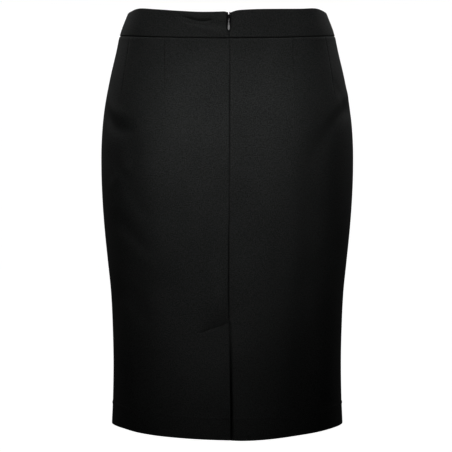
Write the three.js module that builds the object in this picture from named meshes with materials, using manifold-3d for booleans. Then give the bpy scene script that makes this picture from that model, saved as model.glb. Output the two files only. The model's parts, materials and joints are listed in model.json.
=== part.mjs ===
// A pencil skirt, hollow and filled out, with a shaped waistband, a concealed centre-back zip and a vent.
//
// Millimetres, +Z up. The origin is the middle of the waist opening, level with the top edge at the centre
// back. The back, with the zip and the vent, faces -Y; +X is the wearer's right. Places on the cloth are
// given by two lengths that a maker would measure: `round`, the distance round the body from the middle of
// the back (positive towards +X), and `drop`, the distance below the waist.
import * as THREE from 'three';
import { mergeVertices } from 'three/addons/utils/BufferGeometryUtils.js';
import Module from 'manifold-3d';

// Driving dimensions
const SEAM_GAP = 0.3;            // pieces stop this far from each other at a seam
const PANEL = 1.4;               // thickness of one layer of the suiting
const BAND = 2.4;                // the waistband is doubled and interlined
const BAND_DROP = 37;            // seam between the waistband and the skirt, at the centre back
const HEM_DROP = 602.5;          // lower edge at the centre back
const HEM_TURN = 31;             // depth of the turned-up hem
const SIDE_FORWARD = 4;          // the side seams lie this far in front of the widest line
const VENT_DROP = 434;           // top of the vent, at the centre-back seam
const VENT_SLANT = 15;           // the line stitched across the vent falls by this much
const VENT_WIDTH = 40;           // width of the vent's facing and of its underlap
const ZIP_TOP = 2;
const ZIP_END = 205;
const DART_LENGTH = 95;
const DART_HALF = 2.6;           // half the width of the crease along a dart
const BACK_ROUNDNESS = 2.15;     // exponent of the section: 2 is an ellipse, more is squarer
const FRONT_ROUNDNESS = 2.2;
const SECTION_STEPS = 360;

// The body's sections: half width, and depth of the back and of the front from the plane of the sides
const SECTIONS = [
  { drop: -4, half: 142.8, back: 99.1, front: 97.0 },
  { drop: 10, half: 147.9, back: 102.2, front: 100.5 },
  { drop: 30, half: 154.5, back: 106.7, front: 106.0 },
  { drop: 60, half: 161.1, back: 114.5, front: 111.5 },
  { drop: 96, half: 170.1, back: 126.0, front: 115.5 },
  { drop: 140, half: 178.7, back: 138.5, front: 117.8 },
  { drop: 184, half: 182.8, back: 146.3, front: 118.2 },
  { drop: 228, half: 183.5, back: 148.5, front: 117.7 },
  { drop: 272, half: 182.1, back: 145.8, front: 117.0 },
  { drop: 316, half: 179.1, back: 140.5, front: 116.5 },
  { drop: 360, half: 174.9, back: 134.8, front: 116.0 },
  { drop: 404, half: 170.7, back: 130.0, front: 115.7 },
  { drop: 450, half: 168.6, back: 126.6, front: 115.5 },
  { drop: 510, half: 167.6, back: 124.0, front: 115.3 },
  { drop: 570, half: 168.8, back: 122.6, front: 115.6 },
  { drop: 604, half: 170.4, back: 122.3, front: 116.2 },
];

// The centre-back line swings a little to the right of the middle
const CENTRE_LINE = [
  { drop: -4, round: 2.0 },
  { drop: 30, round: 2.3 },
  { drop: 68, round: 3.3 },
  { drop: 124, round: 3.1 },
  { drop: 230, round: 2.8 },
  { drop: 316, round: 1.8 },
  { drop: 385, round: 1.8 },
  { drop: 440, round: 2.4 },
  { drop: 500, round: 3.2 },
  { drop: 604, round: 4.2 },
];

// How far the top edge, the waistband seam and the hem rise above their level at the centre back, by the
// direction from the middle: 0 is the back, 90 the wearer's right side, 180 the front
const RISE = [
  { turn: -180, top: 0.5, seam: 3.0, hem: 1.5 },
  { turn: -120, top: 0.0, seam: 4.0, hem: 1.5 },
  { turn: -90, top: -0.6, seam: 4.6, hem: 2.0 },
  { turn: -74, top: 2.0, seam: 4.4, hem: 4.2 },
  { turn: -60, top: 5.5, seam: 3.6, hem: 5.0 },
  { turn: -44, top: 3.7, seam: 2.2, hem: 3.0 },
  { turn: -27, top: 0.9, seam: 0.9, hem: 2.2 },
  { turn: -13, top: -0.9, seam: 0.2, hem: 1.2 },
  { turn: 0, top: -0.2, seam: 0.0, hem: 0.2 },
  { turn: 6, top: 1.6, seam: 0.0, hem: -0.7 },
  { turn: 15, top: 2.9, seam: 0.3, hem: -0.2 },
  { turn: 29, top: 3.6, seam: 1.0, hem: 1.8 },
  { turn: 44, top: 4.3, seam: 2.2, hem: 3.4 },
  { turn: 60, top: 5.6, seam: 3.6, hem: 4.8 },
  { turn: 74, top: 2.4, seam: 4.4, hem: 4.2 },
  { turn: 90, top: -0.6, seam: 4.6, hem: 2.0 },
  { turn: 120, top: 0.0, seam: 4.0, hem: 1.5 },
  { turn: 180, top: 0.5, seam: 3.0, hem: 1.5 },
];

// The darts, by where they start at the waistband seam and where they end
const DARTS = {
  leftOuter: { top: -153, tip: -168, drop: BAND_DROP },
  leftInner: { top: -91, tip: -90, drop: BAND_DROP },
  rightInner: { top: 94, tip: 98, drop: BAND_DROP },
  rightOuter: { top: 155, tip: 173, drop: BAND_DROP },
};
const FRONT_DART_SHARE = 0.36;   // place of each front dart, from the middle of the front to its side seam
const FRONT_DART_LENGTH = 80;

// The largest folds: soft troughs (depth below 0) and ridges (above 0), each along a line on the cloth
const FOLDS = [
  { from: [-220, 140], to: [-152, 168], bow: 7, width: 11, depth: -3.6 },
  { from: [-147, 165], to: [-140, 270], bow: 0, width: 17, depth: -2.6 },
  { from: [-182, 290], to: [-118, 340], bow: -3, width: 13, depth: -2.5 },
  { from: [-176, 316], to: [-96, 362], bow: -3, width: 12, depth: 1.4 },
  { from: [-180, 396], to: [-116, 436], bow: -2, width: 14, depth: -2.7 },
  { from: [224, 138], to: [148, 174], bow: 8, width: 11, depth: -3.8 },
  { from: [152, 172], to: [110, 256], bow: 6, width: 18, depth: -2.4 },
  { from: [58, 262], to: [52, 388], bow: 0, width: 15, depth: 2.5 },
  { from: [178, 318], to: [120, 372], bow: -4, width: 14, depth: -2.4 },
  { from: [150, 436], to: [96, 560], bow: 0, width: 30, depth: -3.4 },
  { from: [-4, 292], to: [-4, 370], bow: 0, width: 7, depth: -0.8 },
  { from: [-62, 8], to: [-1, 18], bow: 3, width: 5, depth: -0.9 },
  { from: [-44, 20], to: [-6, 29], bow: 2, width: 4, depth: 0.7 },
  { from: [288, 148], to: [352, 178], bow: -6, width: 14, depth: -2.4 },
  { from: [330, 300], to: [392, 352], bow: 3, width: 14, depth: -1.8 },
  { from: [470, 262], to: [476, 410], bow: 0, width: 18, depth: 1.6 },
  { from: [-286, 146], to: [-356, 182], bow: 6, width: 14, depth: -2.6 },
  { from: [-340, 320], to: [-300, 362], bow: 4, width: 13, depth: -1.7 },
  { from: [-400, 430], to: [-368, 556], bow: 0, width: 26, depth: -2.2 },
];

// Arithmetic shared by all the pieces
const mix = (a, b, share) => a + (b - a) * share;
const softStep = (from, to, value) => THREE.MathUtils.smoothstep(value, from, to);

// A smooth curve through one column of a table, read at any value of another column
function read(table, by, value, column) {
  const last = table.length - 1;
  const at = THREE.MathUtils.clamp(value, table[0][by], table[last][by]);
  const next = Math.max(1, table.findIndex((row) => row[by] >= at));
  const slopeAt = (i) => {
    const before = table[Math.max(i - 1, 0)];
    const after = table[Math.min(i + 1, last)];
    return (after[column] - before[column]) / (after[by] - before[by]);
  };
  const [a, b] = [table[next - 1], table[next]];
  const span = b[by] - a[by];
  const t = (at - a[by]) / span;
  const bend = [2 * t ** 3 - 3 * t ** 2 + 1, t ** 3 - 2 * t ** 2 + t, 3 * t ** 2 - 2 * t ** 3, t ** 3 - t ** 2];
  return bend[0] * a[column] + bend[1] * span * slopeAt(next - 1)
    + bend[2] * b[column] + bend[3] * span * slopeAt(next);
}

// One section of the body, as a ring of points from the middle of the back all the way round, with the
// distance walked to each of them
const sections = new Map();
function sectionAt(drop) {
  const key = drop.toFixed(3);
  if (!sections.has(key)) {
    const half = read(SECTIONS, 'drop', drop, 'half');
    const ring = [];
    let walked = 0;
    for (let i = 0; i <= SECTION_STEPS; i += 1) {
      const turn = (i / SECTION_STEPS) * 360;
      const angle = THREE.MathUtils.degToRad(turn);
      const isFront = Math.cos(angle) < 0;
      const depth = read(SECTIONS, 'drop', drop, isFront ? 'front' : 'back');
      const power = isFront ? FRONT_ROUNDNESS : BACK_ROUNDNESS;
      const x = half * Math.sign(Math.sin(angle)) * Math.abs(Math.sin(angle)) ** (2 / power);
      const y = -depth * Math.sign(Math.cos(angle)) * Math.abs(Math.cos(angle)) ** (2 / power);
      if (i > 0) walked += Math.hypot(x - ring[i - 1].x, y - ring[i - 1].y);
      ring.push({ turn, x, y, half, depth, power, walked });
    }
    sections.set(key, ring);
  }
  return sections.get(key);
}
const girth = (drop) => sectionAt(drop)[SECTION_STEPS].walked;
const quarter = (drop) => sectionAt(drop)[SECTION_STEPS / 4].walked;   // centre back to the widest line

// The spot on the smooth body at a distance round it, with the direction that points out of the cloth
function spotAt(round, drop) {
  const ring = sectionAt(drop);
  const total = girth(drop);
  const distance = ((round % total) + total) % total;
  let low = 0;
  let high = SECTION_STEPS;
  while (high - low > 1) {
    const middle = (low + high) >> 1;
    if (ring[middle].walked <= distance) low = middle; else high = middle;
  }
  const [a, b] = [ring[low], ring[high]];
  const share = (distance - a.walked) / (b.walked - a.walked);
  const [x, y] = [mix(a.x, b.x, share), mix(a.y, b.y, share)];
  const lean = (value, size) => Math.sign(value) * Math.abs(value / size) ** (a.power - 1) / size;
  const out = new THREE.Vector2(lean(x, a.half), lean(y, a.depth)).normalize();
  const turn = mix(a.turn, b.turn, share);
  return { x, y, out, turn: turn > 180 ? turn - 360 : turn };
}

const centreLine = (drop) => read(CENTRE_LINE, 'drop', drop, 'round');

// How far the cloth stands out from the smooth body because of its folds
function foldsAt(round, drop) {
  const total = girth(drop);
  let relief = 0;
  for (const fold of FOLDS) {
    const line = [fold.to[0] - fold.from[0], fold.to[1] - fold.from[1]];
    const length = Math.hypot(...line);
    const way = line.map((part) => part / length);
    const away = ((round - fold.from[0] + total * 1.5) % total) - total / 2;
    const share = (away * way[0] + (drop - fold.from[1]) * way[1]) / length;
    if (share > -0.3 && share < 1.3) {
      const bowed = fold.bow * (1 - (2 * share - 1) ** 2);
      const across = (drop - fold.from[1]) * way[0] - away * way[1] - bowed;
      const fade = softStep(-0.3, 0.25, share) * (1 - softStep(0.75, 1.3, share));
      relief += fold.depth * fade * Math.exp(-((across / fold.width) ** 2));
    }
  }
  return relief;
}

// Height of a place on the cloth: the level edges are eased up and down as the real ones lie
function heightAt(turn, drop) {
  const rise = (edge) => read(RISE, 'turn', turn, edge);
  if (drop <= BAND_DROP) return -drop + mix(rise('top'), rise('seam'), Math.max(0, drop / BAND_DROP));
  const fromSeam = rise('seam') * (1 - softStep(BAND_DROP, 160, drop));
  return -drop + fromSeam + rise('hem') * softStep(440, HEM_DROP, drop);
}

// The point at a place on the cloth, moved out from the smooth body by `out` beside its folds
function pointOn(round, drop, out = 0) {
  const spot = spotAt(round, drop);
  const away = out + foldsAt(round, drop);
  return new THREE.Vector3(spot.x + spot.out.x * away, spot.y + spot.out.y * away, heightAt(spot.turn, drop));
}

// A wall of cloth. `stations` is a grid, row by row from the top, of { round, drop, outer, inner }, with the
// outer and inner faces as distances out from the body; a cell that `present` leaves out stays open
function clothWall(stations, present = () => true) {
  const rows = stations.length;
  const columns = stations[0].length;
  const positions = [];
  for (const face of ['outer', 'inner']) {
    for (const row of stations) {
      for (const station of row) positions.push(...pointOn(station.round, station.drop, station[face]));
    }
  }
  const outer = (r, c) => r * columns + c;
  const inner = (r, c) => rows * columns + r * columns + c;
  const isCloth = (r, c) => r >= 0 && c >= 0 && r < rows - 1 && c < columns - 1 && present(r, c);
  const faces = [];
  const quad = (a, b, c, d) => faces.push(a, b, c, a, c, d);
  for (let r = 0; r < rows - 1; r += 1) {
    for (let c = 0; c < columns - 1; c += 1) {
      if (!isCloth(r, c)) continue;
      quad(outer(r, c), outer(r + 1, c), outer(r + 1, c + 1), outer(r, c + 1));
      quad(inner(r, c), inner(r, c + 1), inner(r + 1, c + 1), inner(r + 1, c));
      if (!isCloth(r - 1, c)) quad(outer(r, c), outer(r, c + 1), inner(r, c + 1), inner(r, c));
      if (!isCloth(r + 1, c)) quad(outer(r + 1, c), inner(r + 1, c), inner(r + 1, c + 1), outer(r + 1, c + 1));
      if (!isCloth(r, c - 1)) quad(outer(r, c), inner(r, c), inner(r + 1, c), outer(r + 1, c));
      if (!isCloth(r, c + 1)) quad(outer(r, c + 1), outer(r + 1, c + 1), inner(r + 1, c + 1), inner(r, c + 1));
    }
  }
  const geometry = new THREE.BufferGeometry();
  geometry.setAttribute('position', new THREE.Float32BufferAttribute(positions, 3));
  geometry.setIndex(faces);
  return geometry;
}

// Places between guides: each guide is { at, steps }, with `steps` even steps from the one before it
function between(guides) {
  const places = [guides[0].at];
  for (let i = 1; i < guides.length; i += 1) {
    for (let step = 1; step < guides[i].steps; step += 1) {
      places.push(mix(guides[i - 1].at, guides[i].at, step / guides[i].steps));
    }
    places.push(guides[i].at);
  }
  return places;
}

// The rows of the skirt's panels, closer together where the hips are creased and at the vent's top
const PANEL_DROPS = between([
  { at: BAND_DROP + SEAM_GAP / 2 },
  { at: 42, steps: 1 },
  { at: 104, steps: 4 },
  { at: 176, steps: 6 },
  { at: 248, steps: 4 },
  { at: 416, steps: 6 },
  { at: VENT_DROP, steps: 1 },
  { at: VENT_DROP + 2.5, steps: 1 },
  { at: 460, steps: 1 },
  { at: HEM_DROP - HEM_TURN, steps: 3 },
  { at: HEM_DROP - HEM_TURN + 2.5, steps: 1 },
  { at: HEM_DROP, steps: 1 },
]);
const VENT_ROW = PANEL_DROPS.indexOf(VENT_DROP);

// Where a dart's line runs at a drop; below its tip the line keeps its share of the panel
function dartLine(dart, drop, length = DART_LENGTH) {
  const tipDrop = dart.drop + length;
  if (drop < tipDrop) return mix(dart.top, dart.tip, (drop - dart.drop) / length);
  return dart.tip * (quarter(drop) / quarter(tipDrop));
}

// Depth of the crease along a dart: full at the waistband, gone at its tip
const dartCrease = (drop, length) => -1.2 * (1 - softStep(0.55, 1.0, (drop - BAND_DROP) / length));

// The skirt's upper edge is drawn in where the waistband is sewn on
const seamDip = (drop) => -1.1 * Math.exp(-(((drop - BAND_DROP) / 5) ** 2));

// The vent's slanting line pulls its row down, most at the far edge of the facing
function slantedDrop(drop, row, fromCentre) {
  const nearVent = 1 - Math.min(1, Math.abs(row - VENT_ROW - 0.5) / 4);
  const fall = THREE.MathUtils.clamp(fromCentre / VENT_WIDTH, 0, 1) * (1 - softStep(60, 130, fromCentre));
  return drop + VENT_SLANT * nearVent * fall;
}

// Outer and inner face of a panel: `crease` moves both, `roll` rounds off the outer one at a pressed edge,
// and `layers` counts the cloth folded on itself
function layered(drop, crease, layers, roll = 0) {
  const middle = crease + seamDip(drop);
  return { outer: middle - roll, inner: middle - PANEL * layers };
}
const hemLayers = (drop) => (drop > HEM_DROP - HEM_TURN + 1 ? 2 : 1);
const EDGE_ROLL = 0.55;           // the pressed centre-back edges roll in by this much

function backLeftPanel() {
  return clothWall(PANEL_DROPS.map((level, row) => {
    const edge = centreLine(level) - SEAM_GAP / 2;
    const outerDart = dartLine(DARTS.leftOuter, level);
    const innerDart = dartLine(DARTS.leftInner, level);
    const creased = new Set([outerDart, innerDart]);
    const places = between([
      { at: -(quarter(level) + SIDE_FORWARD - SEAM_GAP / 2) },
      { at: outerDart - DART_HALF, steps: 8 },
      { at: outerDart, steps: 1 },
      { at: outerDart + DART_HALF, steps: 1 },
      { at: innerDart - DART_HALF, steps: 5 },
      { at: innerDart, steps: 1 },
      { at: innerDart + DART_HALF, steps: 1 },
      { at: edge - VENT_WIDTH - 2, steps: 3 },
      { at: edge - VENT_WIDTH, steps: 1 },
      { at: edge - 3, steps: 3 },
      { at: edge, steps: 1 },
    ]);
    return places.map((round, column) => {
      const drop = slantedDrop(level, row, edge - round);
      const isFacing = row > VENT_ROW && round > edge - VENT_WIDTH - 1;
      const isEdge = column === places.length - 1;
      const crease = creased.has(round) ? dartCrease(level, DART_LENGTH) : 0;
      const layers = isFacing ? 2 : hemLayers(level);
      return { round, drop, ...layered(drop, crease, layers, isEdge ? EDGE_ROLL : 0) };
    });
  }));
}

const UNDERLAP_INSET = -(2 * PANEL + SEAM_GAP);   // the underlap lies behind the left panel and its facing
const UNDERLAP_FALL = 8;                          // and hangs this much deeper at the hem
const UNDERLAP_COLUMNS = 4;
const BESIDE_VENT = { near: 3, far: 8, share: 0.42 };   // where the right panel comes up to the body's form

const underlapInset = (drop) => UNDERLAP_INSET - UNDERLAP_FALL * softStep(VENT_DROP, HEM_DROP, drop);

function backRightPanel() {
  return clothWall(PANEL_DROPS.map((level, row) => {
    const edge = centreLine(level) + SEAM_GAP / 2;
    const innerDart = dartLine(DARTS.rightInner, level);
    const outerDart = dartLine(DARTS.rightOuter, level);
    const creased = new Set([outerDart, innerDart]);
    const isVent = row > VENT_ROW;
    const places = between([
      { at: edge - VENT_WIDTH },
      { at: edge, steps: UNDERLAP_COLUMNS },
      { at: edge + BESIDE_VENT.near, steps: 1 },
      { at: edge + BESIDE_VENT.far, steps: 1 },
      { at: innerDart - DART_HALF, steps: 6 },
      { at: innerDart, steps: 1 },
      { at: innerDart + DART_HALF, steps: 1 },
      { at: outerDart - DART_HALF, steps: 5 },
      { at: outerDart, steps: 1 },
      { at: outerDart + DART_HALF, steps: 1 },
      { at: quarter(level) + SIDE_FORWARD - SEAM_GAP / 2, steps: 8 },
    ]);
    return places.map((round, column) => {
      const drop = slantedDrop(level, row, edge - round);
      const isSeamEdge = column === UNDERLAP_COLUMNS && !isVent;
      let crease = creased.has(round) ? dartCrease(level, DART_LENGTH) : 0;
      if (isVent && column <= UNDERLAP_COLUMNS) crease = underlapInset(level);
      if (isVent && column === UNDERLAP_COLUMNS + 1) crease = underlapInset(level) * BESIDE_VENT.share;
      return { round, drop, ...layered(drop, crease, hemLayers(level), isSeamEdge ? EDGE_ROLL : 0) };
    });
  }), (row, column) => column >= UNDERLAP_COLUMNS || row > VENT_ROW);
}

function frontPanel() {
  return clothWall(PANEL_DROPS.map((level) => {
    const side = quarter(level) + SIDE_FORWARD + SEAM_GAP / 2;
    const middle = girth(level) / 2;
    const dartAway = (middle - side) * FRONT_DART_SHARE;
    const creased = new Set([middle - dartAway, middle + dartAway]);
    const places = between([
      { at: side },
      { at: middle - dartAway - DART_HALF, steps: 7 },
      { at: middle - dartAway, steps: 1 },
      { at: middle - dartAway + DART_HALF, steps: 1 },
      { at: middle + dartAway - DART_HALF, steps: 8 },
      { at: middle + dartAway, steps: 1 },
      { at: middle + dartAway + DART_HALF, steps: 1 },
      { at: 2 * middle - side, steps: 7 },
    ]);
    return places.map((round) => {
      const crease = creased.has(round) ? dartCrease(level, FRONT_DART_LENGTH) : 0;
      return { round, drop: level, ...layered(level, crease, hemLayers(level)) };
    });
  }));
}

// The waistband: its centre-back ends draw apart round the slider and its tab, and roll in
const BAND_OPENING = [
  { drop: 0, half: 2.3 },
  { drop: 7, half: 2.9 },
  { drop: 15, half: 3.6 },
  { drop: 22, half: 3.5 },
  { drop: 28, half: 1.9 },
  { drop: 33, half: 0.2 },
  { drop: 37, half: 0.15 },
];
const BAND_DROPS = [0, 5, 11, 17, 23, 28, 33, BAND_DROP - SEAM_GAP / 2];
const BAND_ROLL = [1.4, 0.6, 0.15, 0];            // how far the end rolls in, at each of these distances
const BAND_ROLL_AT = [0, 1, 2.4, 5];
const BAND_CREASED = 60;                          // the band is creased this far from the zip
const NOTCH = { drop: 2.3, left: 3.5, right: 7 }; // the ends' top corners are rounded off

function bandStation(round, level, roll) {
  const fromEdge = round - centreLine(level);
  const reach = fromEdge < 0 ? NOTCH.left : NOTCH.right;
  const notch = NOTCH.drop * Math.exp(-((fromEdge / reach) ** 2)) * (1 - softStep(0, 16, level));
  return { round, drop: level + notch, outer: -roll, inner: -BAND };
}

function backBand(side) {
  return clothWall(BAND_DROPS.map((level) => {
    const edge = centreLine(level) + side * read(BAND_OPENING, 'drop', level, 'half');
    const rolled = BAND_ROLL_AT.map((distance) => edge + side * distance);
    const places = [
      ...rolled,
      ...between([{ at: rolled[3] }, { at: edge + side * BAND_CREASED, steps: 7 }]).slice(1),
      ...between([
        { at: edge + side * BAND_CREASED },
        { at: side * (quarter(level) + SIDE_FORWARD - SEAM_GAP / 2), steps: 10 },
      ]).slice(1),
    ];
    const row = places.map((round, i) => bandStation(round, level, BAND_ROLL[i] ?? 0));
    return side < 0 ? row.reverse() : row;
  }));
}

function frontBand() {
  return clothWall(BAND_DROPS.filter((_, i) => i % 2 === 0 || i === BAND_DROPS.length - 1).map((level) => {
    const side = quarter(level) + SIDE_FORWARD + SEAM_GAP / 2;
    const places = between([{ at: side }, { at: girth(level) - side, steps: 30 }]);
    return places.map((round) => bandStation(round, level, 0));
  }));
}

// The zip: two tapes behind the cloth, drawn apart where the slider runs
const TAPE = { thick: 0.9, width: 13, behindBand: -(BAND + 0.7), behindPanel: -(PANEL + 0.35) };
const TAPE_EASES = { from: 40, to: 57 };          // below the waistband the tapes come up to the panels
const TAPE_EDGE = [
  { drop: ZIP_TOP, away: 1.5 },
  { drop: 6, away: 1.25 },
  { drop: 12, away: 1.1 },
  { drop: 17, away: 0.35 },
  { drop: ZIP_END, away: 0.35 },
];
const TAPE_DROPS = between([
  { at: ZIP_TOP },
  { at: 17, steps: 3 },
  { at: 37, steps: 2 },
  { at: TAPE_EASES.to, steps: 2 },
  { at: 104, steps: 3 },
  { at: 176, steps: 6 },
  { at: ZIP_END, steps: 2 },
]);

function zipTape(side) {
  return clothWall(TAPE_DROPS.map((drop) => {
    const near = centreLine(drop) + side * read(TAPE_EDGE, 'drop', drop, 'away');
    const places = between([{ at: near }, { at: near + side * TAPE.width, steps: 2 }]);
    const outer = mix(TAPE.behindBand, TAPE.behindPanel, softStep(TAPE_EASES.from, TAPE_EASES.to, drop)) + seamDip(drop);
    const row = places.map((round) => ({ round, drop, outer, inner: outer - TAPE.thick }));
    return side < 0 ? row.reverse() : row;
  }));
}

// The slider and its tab, in a frame of their own: the origin on the tab's pivot, +Y out of the cloth, +Z up
// along it
const PIVOT_DROP = 10;
const PIVOT_INSET = 0.8;
const SLOPE_DROPS = [2, 24];                      // the stretch of waistband that the slider and tab lie along
const TAB = { length: 17.3, half: 1.4, thick: 0.8, bar: 0.38, eyeHalf: 0.7, eyeEnd: 2.15, headHalf: 1.2 };
const BAIL = { inside: 1.0, outside: 1.7, half: 0.4, rooted: 0.3 };
const NECK = { width: 1.2, tall: 2.6, middle: 2.2, rooted: 0.3 };
const PLATE = { top: 6.2, foot: -2.7, half: 2.35, front: -0.85, back: -1.7, rearFront: -3.5, rearBack: -4.4 };

const wasm = await Module();
wasm.setup();

// Turns a closed geometry into a solid for joining, and back again
function toSolid(geometry) {
  geometry.deleteAttribute('normal');
  geometry.deleteAttribute('uv');
  const merged = mergeVertices(geometry, 1e-4);
  return new wasm.Manifold(new wasm.Mesh({
    numProp: 3,
    vertProperties: new Float32Array(merged.attributes.position.array),
    triVerts: new Uint32Array(merged.index.array),
  }));
}
function toGeometry(solid) {
  const mesh = solid.getMesh();
  const geometry = new THREE.BufferGeometry();
  geometry.setAttribute('position', new THREE.Float32BufferAttribute(mesh.vertProperties, 3));
  geometry.setIndex(Array.from(mesh.triVerts));
  return geometry;
}

// A flat outline in the X-Z plane, thickened from `back` to `front` along Y
function plate(shape, back, front) {
  const geometry = new THREE.ExtrudeGeometry(shape, { depth: front - back, bevelEnabled: false, curveSegments: 8 });
  return geometry.rotateX(Math.PI / 2).translate(0, front, 0);
}

// The slider's plates are shields: two round shoulders above, drawn in to a blunt foot
function shieldOutline(grow) {
  const half = PLATE.half + grow;
  const shape = new THREE.Shape();
  shape.moveTo(-half * 0.55, PLATE.foot);
  shape.lineTo(half * 0.55, PLATE.foot);
  shape.quadraticCurveTo(half * 0.75, 0, half, PLATE.top - 2);
  shape.quadraticCurveTo(half, PLATE.top, half * 0.45, PLATE.top);
  shape.quadraticCurveTo(0, PLATE.top - 0.9, -half * 0.45, PLATE.top);
  shape.quadraticCurveTo(-half, PLATE.top, -half, PLATE.top - 2);
  shape.quadraticCurveTo(-half * 0.75, 0, -half * 0.55, PLATE.foot);
  return shape;
}

function zipSlider() {
  const front = toSolid(plate(shieldOutline(0), PLATE.back, PLATE.front));
  const rear = toSolid(plate(shieldOutline(0.4), PLATE.rearBack, PLATE.rearFront));
  const neckSize = [NECK.width, PLATE.back - PLATE.rearFront + 2 * NECK.rooted, NECK.tall];
  const neckPlace = [0, (PLATE.back + PLATE.rearFront) / 2, NECK.middle];
  const neck = toSolid(new THREE.BoxGeometry(...neckSize).translate(...neckPlace));
  const arch = new THREE.Shape();
  const foot = PLATE.front - BAIL.rooted;
  arch.moveTo(foot, -BAIL.outside);
  arch.lineTo(0, -BAIL.outside);
  arch.absarc(0, 0, BAIL.outside, -Math.PI / 2, Math.PI / 2, false);
  arch.lineTo(foot, BAIL.outside);
  arch.lineTo(foot, BAIL.inside);
  arch.lineTo(0, BAIL.inside);
  arch.absarc(0, 0, BAIL.inside, Math.PI / 2, -Math.PI / 2, true);
  arch.lineTo(foot, -BAIL.inside);
  arch.closePath();
  const bailGeometry = new THREE.ExtrudeGeometry(arch, {
    depth: 2 * BAIL.half, bevelEnabled: false, curveSegments: 10,
  });
  // The arch is drawn in X-Y and extruded along Z: this basis puts it in Y-Z, extruded along X
  const standUp = new THREE.Matrix4().makeBasis(
    new THREE.Vector3(0, 1, 0), new THREE.Vector3(0, 0, 1), new THREE.Vector3(1, 0, 0));
  const bail = toSolid(bailGeometry.applyMatrix4(standUp).translate(-BAIL.half, 0, 0));
  return toGeometry(front.add(rear).add(neck).add(bail));
}

// The pull tab: a crossbar and an eye round the bail, a slim neck, and a long teardrop
function pullTab() {
  const foot = TAB.bar - TAB.length;
  const outline = [
    [TAB.headHalf * 0.72, TAB.bar],
    [TAB.headHalf, TAB.bar - 0.45],
    [TAB.headHalf, -1.9],
    [0.75, -3.4],
    [0.72, -5],
    [0.95, -8],
    [1.25, -10.8],
    [TAB.half, -12.8],
    [1.28, -14.6],
    [0.8, -16.1],
  ];
  const right = outline.map(([x, z]) => new THREE.Vector2(x, z));
  const left = outline.map(([x, z]) => new THREE.Vector2(-x, z)).reverse();
  const shape = new THREE.Shape([...right, new THREE.Vector2(0, foot), ...left]);
  const eye = new THREE.Path();
  eye.moveTo(-TAB.eyeHalf, -TAB.bar);
  eye.lineTo(-TAB.eyeHalf, -TAB.eyeEnd + 0.3);
  eye.lineTo(-TAB.eyeHalf + 0.3, -TAB.eyeEnd);
  eye.lineTo(TAB.eyeHalf - 0.3, -TAB.eyeEnd);
  eye.lineTo(TAB.eyeHalf, -TAB.eyeEnd + 0.3);
  eye.lineTo(TAB.eyeHalf, -TAB.bar);
  eye.closePath();
  shape.holes.push(eye);
  return plate(shape, -TAB.thick / 2, TAB.thick / 2);
}

// Colours and finishes
const suiting = new THREE.MeshStandardMaterial({ color: 0x1d1d1f, roughness: 0.85, metalness: 0 });
const tapeCloth = new THREE.MeshStandardMaterial({ color: 0x121213, roughness: 0.8, metalness: 0 });
const blackMetal = new THREE.MeshStandardMaterial({ color: 0x2a2a2c, roughness: 0.4, metalness: 0.9 });
const greyMetal = new THREE.MeshStandardMaterial({ color: 0x8f9194, roughness: 0.35, metalness: 1 });

function named(name, geometry, material) {
  const mesh = new THREE.Mesh(geometry, material);
  mesh.name = name;
  return mesh;
}

const skirt = new THREE.Group();
skirt.add(
  named('front_panel', frontPanel(), suiting),
  named('back_left_panel', backLeftPanel(), suiting),
  named('back_right_panel', backRightPanel(), suiting),
  named('waistband_front', frontBand(), suiting),
  named('waistband_back_left', backBand(-1), suiting),
  named('waistband_back_right', backBand(1), suiting),
  named('zip_tape_left', zipTape(-1), tapeCloth),
  named('zip_tape_right', zipTape(1), tapeCloth),
);

// The slider's frame stands on the waistband's slope at the centre back
const above = pointOn(centreLine(SLOPE_DROPS[0]), SLOPE_DROPS[0]);
const below = pointOn(centreLine(SLOPE_DROPS[1]), SLOPE_DROPS[1]);
const slope = Math.atan2(above.y - below.y, above.z - below.z);
const zipFrame = new THREE.Group();
zipFrame.position.copy(pointOn(centreLine(PIVOT_DROP), PIVOT_DROP, -PIVOT_INSET));
zipFrame.rotation.set(-slope, 0, Math.PI);
zipFrame.add(named('zip_slider', zipSlider(), blackMetal), named('zip_pull_tab', pullTab(), greyMetal));
skirt.add(zipFrame);

export default skirt;
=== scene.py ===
# %% [markdown]
# A pencil skirt in black suiting, seen from behind and filled out as if it were worn.
# The skirt is hollow: panels of cloth, a shaped waistband, a concealed zip and a vent. Each piece is made
# here as a tailor would cut it, as a thin sheet with its hem, facing and seam allowances folded under, on
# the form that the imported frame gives. The frame holds the real sizes, so nothing is fitted by eye.

import json
import math

import bmesh
import bpy
import numpy as np
from mathutils import Matrix, Vector


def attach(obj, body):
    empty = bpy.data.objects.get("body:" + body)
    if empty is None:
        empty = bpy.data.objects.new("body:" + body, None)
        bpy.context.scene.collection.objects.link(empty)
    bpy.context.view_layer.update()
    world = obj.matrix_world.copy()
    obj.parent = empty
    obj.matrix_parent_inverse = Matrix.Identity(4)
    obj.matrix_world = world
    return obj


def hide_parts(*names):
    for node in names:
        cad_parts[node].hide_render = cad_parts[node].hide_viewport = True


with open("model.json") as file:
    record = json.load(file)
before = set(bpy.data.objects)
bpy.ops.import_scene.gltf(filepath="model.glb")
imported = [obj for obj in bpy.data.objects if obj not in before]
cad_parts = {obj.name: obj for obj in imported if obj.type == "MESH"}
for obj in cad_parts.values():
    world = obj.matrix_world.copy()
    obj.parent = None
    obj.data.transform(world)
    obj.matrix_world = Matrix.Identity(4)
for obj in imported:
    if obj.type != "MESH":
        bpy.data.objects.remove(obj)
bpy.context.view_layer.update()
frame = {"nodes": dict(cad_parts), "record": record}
MM = 0.001                       # the tables below are in millimetres, Blender is in metres
print("frame:", sorted(frame["nodes"]))

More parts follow.
